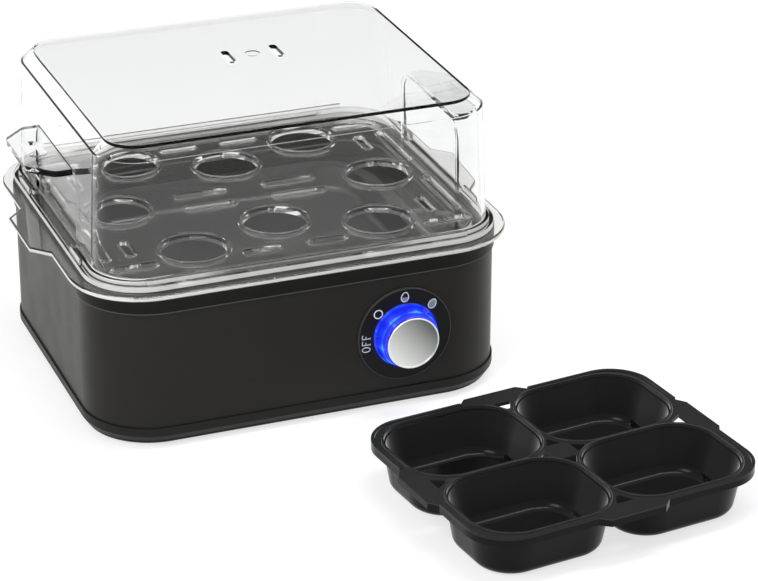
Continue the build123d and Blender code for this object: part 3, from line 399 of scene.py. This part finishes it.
def round_outline(half_width, half_height, narrowing=0.0, points=40):
    """An upright oval; narrowing draws its upper end in and fills its lower end out."""
    outline = []
    for i in range(points):
        angle = 2 * pi * i / points
        drawn_in = 1 - narrowing * sin(angle)
        outline.append((half_width * cos(angle) * drawn_in, half_height * sin(angle)))
    return outline


def bar(x, y, width, height):
    """A filled rectangle from its lower left corner."""
    return ([(x, y), (x + width, y), (x + width, y + height), (x, y + height)], None)


def letter_f(left):
    """Narrow F with serifs, its foot at y = 0."""
    stem = left + serif
    top = letter_height - letter_line
    middle = letter_height * 0.5
    return [
        bar(stem, 0, letter_line, letter_height),
        bar(left, 0, 2 * serif + letter_line, 0.8 * letter_line),
        bar(stem, top, letter_width - serif, letter_line),
        bar(stem, middle, 0.7 * letter_width - serif, 0.85 * letter_line),
        bar(left + letter_width - 0.8 * letter_line, top - serif, 0.8 * letter_line, letter_line + serif),
    ]


def letter_o(left):
    """Upright O, thicker at its sides than at its ends, its foot at y = 0."""
    half_w = letter_width * 0.55
    half_h = letter_height / 2
    outer = round_outline(half_w, half_h, points=letter_points)
    inner = round_outline(
        half_w - 1.1 * letter_line, half_h - 0.75 * letter_line, points=letter_points
    )
    middle = left + half_w
    return [
        (
            [(middle + x, half_h + y) for x, y in outer],
            [(middle + x, half_h + y) for x, y in inner],
        )
    ]


print_white_dull = (0.84, 0.86, 0.86)
print_white_clear = (0.95, 0.97, 0.97)
print_white = new_finish("print_white", print_white_clear, 0.55)
vary_colour(print_white, cloud(print_white, 0.8 * MM), print_white_dull, print_white_clear)
print_grey_dull = (0.22, 0.27, 0.30)
print_grey_clear = (0.30, 0.35, 0.38)
print_grey = new_finish("print_grey", (0.26, 0.31, 0.34), 0.55)
vary_colour(print_grey, cloud(print_grey, 0.8 * MM), print_grey_dull, print_grey_clear)

word_width = 2 * letter_gap + 3.1 * letter_width
letters = letter_o(-word_width / 2)
letters += letter_f(-word_width / 2 + 1.1 * letter_width + letter_gap)
letters += letter_f(-word_width / 2 + 2.1 * letter_width + 2 * letter_gap)
letters = [
    (
        [(x, y - letter_height / 2) for x, y in outer],
        inner and [(x, y - letter_height / 2) for x, y in inner],
    )
    for outer, inner in letters
]
ring = (
    round_outline(soft_radius, soft_radius),
    round_outline(soft_radius - mark_line, soft_radius - mark_line),
)
egg_outer = round_outline(*egg_half, egg_narrowing)
egg_inner = round_outline(egg_half[0] - yolk_line, egg_half[1] - yolk_line, egg_narrowing)
lower_half = [(x, y) for x, y in egg_inner if y <= 0]
off_place = on_plate(19.2 * MM, radians(186), radians(90))
soft_place = on_plate(17.8 * MM, radians(137.5), 0)
medium_place = on_plate(18.6 * MM, radians(90), radians(-8))
hard_place = on_plate(18.9 * MM, radians(44), radians(-30))
marks = (
    ("mark_off", letters, off_place, print_white),
    ("mark_soft", [ring], soft_place, print_white),
    ("mark_medium", [(egg_outer, egg_inner)], medium_place, print_white),
    ("mark_medium_yolk", [(lower_half, None)], medium_place, print_grey),
    ("mark_hard", [(egg_outer, egg_inner)], hard_place, print_white),
    ("mark_hard_yolk", [(egg_inner, None)], hard_place, print_grey),
)
for name, outlines, place, finish in marks:
    mark = plate_mesh(name, outlines, place)
    mark.data.materials.append(finish)
    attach(mark, "housing")

# Diffuser, lamp board and lamps behind the dial plate.
# Milky polycarbonate spreads the light of small blue lamps soldered on a white board.
diffuser = new_finish("diffuser", (0.20, 0.35, 0.95), 0.4)
glow(
    diffuser,
    cloud(diffuser, 5 * MM),
    ((0.2, (0.01, 0.05, 0.9)), (0.8, (0.05, 0.2, 1.0))),
    1.2,
)
dress(diffuser, "light_ring")
board_dull = (0.66, 0.67, 0.64)
board_light = (0.76, 0.77, 0.74)
board_white = new_finish("board_white", (0.70, 0.71, 0.68), 0.5)
vary_colour(board_white, cloud(board_white, 3 * MM), board_dull, board_light)
dress(board_white, "led_board")
lamp_blue = new_finish("lamp_blue", (0.25, 0.40, 1.0), 0.3)
glow(lamp_blue, cloud(lamp_blue, 2 * MM), ((0.3, (0.1, 0.25, 1.0)), (0.7, (0.3, 0.5, 1.0))), 3.0)
dress(lamp_blue, "led_lamps")

# Knob body: polished acrylic, lit blue from behind, that tapers to the cap.
# The light shows as broad streaks across it and as fine rings left by the turning.
turning_pitch = 0.9 * MM
knob_body = new_finish("knob_body", (0.006, 0.012, 0.35), 0.12)
streaks = cloud(knob_body, 6 * MM, detail=2, stretch=(1, 0.4, 1))
turning_marks = knob_body.node_tree.nodes.new("ShaderNodeTexNoise")
turning_marks.noise_dimensions = "1D"
turning_marks.inputs["Scale"].default_value = 1 / turning_pitch
knob_body.node_tree.links.new(from_axis(knob_body), turning_marks.inputs["W"])
light_share = knob_body.node_tree.nodes.new("ShaderNodeMix")
light_share.inputs["Factor"].default_value = 0.5
knob_body.node_tree.links.new(streaks, light_share.inputs["A"])
knob_body.node_tree.links.new(turning_marks.outputs["Fac"], light_share.inputs["B"])
glow(
    knob_body,
    light_share.outputs["Result"],
    (
        (0.36, (0.005, 0.010, 0.45)),
        (0.47, (0.008, 0.028, 0.85)),
        (0.56, (0.015, 0.08, 1.0)),
        (0.66, (0.10, 0.38, 1.0)),
    ),
    0.95,
)
dress(knob_body, "knob_skirt")

# Knob cap: a disc turned from aluminium, faintly dished, with a bright cut edge.
# The tool leaves very fine rings round the middle, and a painted shade darkens its colour to the upper
# right.
cap_painted_dark = (0.17, 0.19, 0.18)
cap_light = (0.95, 0.96, 0.94)
cap_edge = (0.92, 0.92, 0.91)
cap_edge_from = 12.0 * MM
cap_reach = 10.5 * MM
darker_way = Vector((0.75, 0, 0.66))
ring_pitch = 0.22 * MM
turned_cap = new_finish("turned_cap", cap_light, 0.3, Metallic=1.0)
cap_place = add_node(turned_cap, "ShaderNodeTexCoord")
cap_slant = add_node(turned_cap, "ShaderNodeVectorMath")
cap_slant.operation = "DOT_PRODUCT"
cap_slant.inputs[1].default_value = darker_way
cap_middle = darker_way.dot(Vector((knob_x, 0, knob_z)))
# Painted shade: the cap's colour darkens along darker_way, towards the upper right.
cap_painted_shade = add_node(
    turned_cap,
    "ShaderNodeMapRange",
    From_Min=cap_middle - cap_reach,
    From_Max=cap_middle + cap_reach,
)
turned_cap.node_tree.links.new(cap_place.outputs["Object"], cap_slant.inputs[0])
turned_cap.node_tree.links.new(cap_slant.outputs["Value"], cap_painted_shade.inputs["Value"])
cap_shaded_colour = vary_colour(turned_cap, cap_painted_shade.outputs["Result"], cap_light, cap_painted_dark)
on_cut_edge = reckon(turned_cap, "GREATER_THAN", from_axis(turned_cap), cap_edge_from)
lay_over(turned_cap, cap_shaded_colour, on_cut_edge, cap_edge)
rings = turned_cap.node_tree.nodes.new("ShaderNodeTexNoise")
rings.noise_dimensions = "1D"
rings.inputs["Scale"].default_value = 1 / ring_pitch
turned_cap.node_tree.links.new(from_axis(turned_cap), rings.inputs["W"])
raise_grain(turned_cap, rings.outputs["Fac"], 0.004 * MM)
dress(turned_cap, "knob_cap")

# Egg tray: a clear, lightly smoked moulding that lies on the rim.
# It has eight seats, steam slots and a stepped flange with a tab at each end. The flange's upright
# edges get a painted pale glow for the light that a clear plate carries out to its cut edges.
steepest = 0.35
lit_from = (96 * MM, 83 * MM)
lit_blend = 0.06
inner_share = 0.2
painted_edge_tone = (0.93, 0.93, 0.91)
painted_edge_share = 0.75


def upright_edges(finish, levels):
    """How much painted edge light an upright face between those heights gets, most round the outside."""
    links = finish.node_tree.links
    place = add_node(finish, "ShaderNodeTexCoord")
    facing = add_node(finish, "ShaderNodeSeparateXYZ")
    links.new(place.outputs["Normal"], facing.inputs[0])
    upright = reckon(finish, "LESS_THAN", reckon(finish, "ABSOLUTE", facing.outputs["Z"]), steepest)
    height = height_over_table(finish)
    on_level = 0.0
    for low, high in levels:
        within = reckon(finish, "COMPARE", height, (low + high) / 2, (high - low) / 2)
        on_level = reckon(finish, "MAXIMUM", on_level, within)
    power = add_node(finish, "ShaderNodeVectorMath")
    power.operation = "MULTIPLY"
    power.inputs[1].default_value = (1 / lit_from[0], 1 / lit_from[1], 0)
    links.new(place.outputs["Object"], power.inputs[0])
    for _ in range(2):
        squared = add_node(finish, "ShaderNodeVectorMath")
        squared.operation = "MULTIPLY"
        links.new(power.outputs["Vector"], squared.inputs[0])
        links.new(power.outputs["Vector"], squared.inputs[1])
        power = squared
    outline = add_node(finish, "ShaderNodeVectorMath")
    outline.operation = "DOT_PRODUCT"
    outline.inputs[1].default_value = (1, 1, 0)
    links.new(power.outputs["Vector"], outline.inputs[0])
    reach = add_node(
        finish, "ShaderNodeMapRange", From_Min=1.0, From_Max=1.0 + lit_blend, To_Min=inner_share
    )
    links.new(outline.outputs["Value"], reach.inputs["Value"])
    on_edge_face = reckon(finish, "MULTIPLY", on_level, upright)
    return reckon(finish, "MULTIPLY", on_edge_face, reach.outputs["Result"])


def mix_shaders(finish, factor, first, second):
    """The first shader where the factor is nought, the second where it is one, as a socket."""
    mix = finish.node_tree.nodes.new("ShaderNodeMixShader")
    for socket, source in zip(mix.inputs, (factor, first, second)):
        finish.node_tree.links.new(source, socket)
    return mix.outputs[0]


def clear_plastic(name, tint, shadow_tint, index, levels):
    """Clear polished plastic; light from the lamps goes straight through it."""
    finish = new_finish(name, tint, 0.0, Transmission_Weight=1.0, IOR=index)
    path = add_node(finish, "ShaderNodeLightPath")
    through = add_node(finish, "ShaderNodeBsdfTransparent", Color=(*shadow_tint, 1))
    painted_edge_light = add_node(finish, "ShaderNodeBsdfDiffuse", Color=(*painted_edge_tone, 1))
    body = shader_of(finish).outputs["BSDF"]
    plain = mix_shaders(finish, path.outputs["Is Shadow Ray"], body, through.outputs["BSDF"])
    # Painted light: a pale diffuse shade laid over the upright edge faces stands for light leaving the
    # plate there.
    share = reckon(finish, "MULTIPLY", upright_edges(finish, levels), painted_edge_share)
    surface = mix_shaders(finish, share, plain, painted_edge_light.outputs["BSDF"])
    finish.node_tree.links.new(surface, finish.node_tree.nodes["Material Output"].inputs["Surface"])
    return finish


flange_levels = ((75.5 * MM, 78.0 * MM), (78.3 * MM, 80.4 * MM))
tray_tint = (0.95, 0.945, 0.93)
tray_shadow = (0.88, 0.88, 0.87)
tray_index = 1.45
smoked = clear_plastic("smoked", tray_tint, tray_shadow, tray_index, flange_levels)
raise_grain(smoked, cloud(smoked, 18 * MM, detail=1), 0.008 * MM)
dress(smoked, "egg_tray")

# Lid: one clear moulding, drawn up to a rounded box, with a tab on each side and steam slots.
# It has hardly any tint and a slight ripple where it cooled. Its index is fitted to the picture
# and lies below that of real plastic, so that the lid veils as little of the tray as it does there.
# The upright faces of its foot get the same painted pale edge light as the tray's flange.
foot_levels = ((80.6 * MM, 82.5 * MM),)
lid_tint = (0.985, 0.990, 0.988)
lid_shadow = (0.97, 0.97, 0.97)
lid_index = 1.24
clear = clear_plastic("clear", lid_tint, lid_shadow, lid_index, foot_levels)
raise_grain(clear, cloud(clear, 30 * MM, detail=1), 0.015 * MM)
dress(clear, "lid")

# Poaching tray: four drafted cups in one web, moulded in smooth black plastic.
# It is half gloss, handling has left it uneven in sheen, and a painted sheen makes it a little greyer on
# the web.
# It is kept out of mirror reflections, so that the knob's cap shows the pale floor.
poacher_black = (0.0030, 0.0033, 0.0031)
poacher_black_light = (0.0045, 0.0049, 0.0046)
web_painted_sheen = (0.020, 0.0208, 0.0198)
web_from = 22.2 * MM
poacher_plastic = new_finish("poacher_plastic", poacher_black, 0.2, Specular_IOR_Level=0.12)
poacher_tone = vary_colour(
    poacher_plastic, cloud(poacher_plastic, 30 * MM), poacher_black, poacher_black_light
)
# Painted sheen: the top web is a little greyer than the cups below it.
on_sheened_web = reckon(poacher_plastic, "GREATER_THAN", height_over_table(poacher_plastic), web_from)
lay_over(poacher_plastic, poacher_tone, on_sheened_web, web_painted_sheen)
vary_roughness(poacher_plastic, cloud(poacher_plastic, 9 * MM), 0.17, 0.23)
raise_grain(poacher_plastic, cloud(poacher_plastic, 0.6 * MM), 0.005 * MM)
dress(poacher_plastic, "poaching_tray")
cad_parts["poaching_tray"].visible_glossy = False

# Floor: a pale sheet that shows as white in the picture, in metal and through clear plastic.
# It lights the object as a plain pale floor does, and keeps the object's shadow.
floor_half = 4.0
floor_corners = ((-1, -1), (1, -1), (1, 1), (-1, 1))
floor_pale = (0.82, 0.82, 0.82)
floor_glow_strength = 1.25
floor_glow_share = 0.55


def seen_ray(finish):
    """One where the camera, a reflection or clear plastic looks, and nought for plain lighting."""
    path = add_node(finish, "ShaderNodeLightPath")
    seen = reckon(finish, "MAXIMUM", path.outputs["Is Camera Ray"], path.outputs["Is Glossy Ray"])
    return reckon(finish, "MAXIMUM", seen, path.outputs["Is Transmission Ray"])


floor_mesh = bpy.data.meshes.new("floor")
floor_mesh.from_pydata(
    [(floor_half * x, floor_half * y, 0) for x, y in floor_corners],
    [],
    [(0, 1, 2, 3)],
)
floor = bpy.data.objects.new("floor", floor_mesh)
bpy.context.scene.collection.objects.link(floor)
floor_finish = new_finish("floor_finish", floor_pale, 0.9, Specular_IOR_Level=0.0)
floor_glow = add_node(floor_finish, "ShaderNodeEmission", Strength=floor_glow_strength)
floor_surface = mix_shaders(
    floor_finish,
    reckon(floor_finish, "MULTIPLY", seen_ray(floor_finish), floor_glow_share),
    shader_of(floor_finish).outputs["BSDF"],
    floor_glow.outputs["Emission"],
)
floor_finish.node_tree.links.new(
    floor_surface, floor_finish.node_tree.nodes["Material Output"].inputs["Surface"]
)
floor_finish.cycles.emission_sampling = "NONE"
floor_mesh.materials.append(floor_finish)

# Studio: an even fill, a white backdrop, a soft box at the left and a strip over the right.
# A dark flag hangs behind the cooker, where the lid's top and the tray would mirror the backdrop,
# so that the tray shows through the lid.
white = (1, 1, 1, 1)
fill_strength = 0.55
flag_heading = Vector((0.335, 0.833, 0.44)).normalized()
flag_inner = radians(13)
flag_outer = radians(22)
flag_tone = 0.15
studio = bpy.data.worlds.new("studio")
bpy.context.scene.world = studio
studio.use_nodes = True
studio.cycles.sampling_method = "NONE"
soft_fill = studio.node_tree.nodes["Background"]
soft_fill.inputs["Color"].default_value = white
soft_fill.inputs["Strength"].default_value = fill_strength
backdrop = add_node(studio, "ShaderNodeBackground", Color=white)
heading = add_node(studio, "ShaderNodeTexCoord")
to_flag = add_node(studio, "ShaderNodeVectorMath")
to_flag.operation = "DOT_PRODUCT"
to_flag.inputs[1].default_value = flag_heading
flag_edge = add_node(
    studio,
    "ShaderNodeMapRange",
    From_Min=cos(flag_outer),
    From_Max=cos(flag_inner),
    To_Min=1.0,
    To_Max=flag_tone,
)
studio.node_tree.links.new(heading.outputs["Generated"], to_flag.inputs[0])
studio.node_tree.links.new(to_flag.outputs["Value"], flag_edge.inputs["Value"])
studio.node_tree.links.new(flag_edge.outputs["Result"], backdrop.inputs["Strength"])
surround = mix_shaders(studio, seen_ray(studio), soft_fill.outputs[0], backdrop.outputs[0])
studio.node_tree.links.new(surround, studio.node_tree.nodes["World Output"].inputs["Surface"])


def soft_box(name, place, aim, size, power):
    """A rectangular lamp behind cloth, at a place, turned to what it lights."""
    lamp = bpy.data.lights.new(name, "AREA")
    lamp.shape = "RECTANGLE"
    lamp.size = size[0]
    lamp.size_y = size[1]
    lamp.energy = power
    box = bpy.data.objects.new(name, lamp)
    bpy.context.scene.collection.objects.link(box)
    box.location = place
    box.rotation_euler = (Vector(aim) - Vector(place)).to_track_quat("-Z", "Y").to_euler()


soft_box("key_box", place=(-1.5, -0.9, 1.9), aim=(0, -0.05, 0.05), size=(1.1, 1.1), power=26)
soft_box("top_strip", place=(0.6, -0.2, 1.7), aim=(0.6, -0.1, 0.05), size=(1.5, 0.3), power=14)

# Camera: the photograph's own view, from its fitted place and lens.
# It stands in front of the dial, to the left of it and well above the table.
camera_place = Vector((-404.1, -1213.8, 626.4)) * MM
camera_aim = Vector((66.1, 0.2, 18.1)) * MM
camera_roll = radians(0.073)
focal_pixels = 2921.2
picture_width = 758
sensor = 36.0
camera_data = bpy.data.cameras.new("camera")
camera_data.sensor_width = sensor
camera_data.lens = focal_pixels / picture_width * sensor
camera = bpy.data.objects.new("camera", camera_data)
bpy.context.scene.collection.objects.link(camera)
facing = (camera_aim - camera_place).to_track_quat("-Z", "Y").to_matrix().to_4x4()
camera.matrix_world = Matrix.Translation(camera_place) @ facing @ Matrix.Rotation(camera_roll, 4, "Z")
bpy.context.scene.camera = camera
bpy.context.scene.view_settings.view_transform = "Standard"
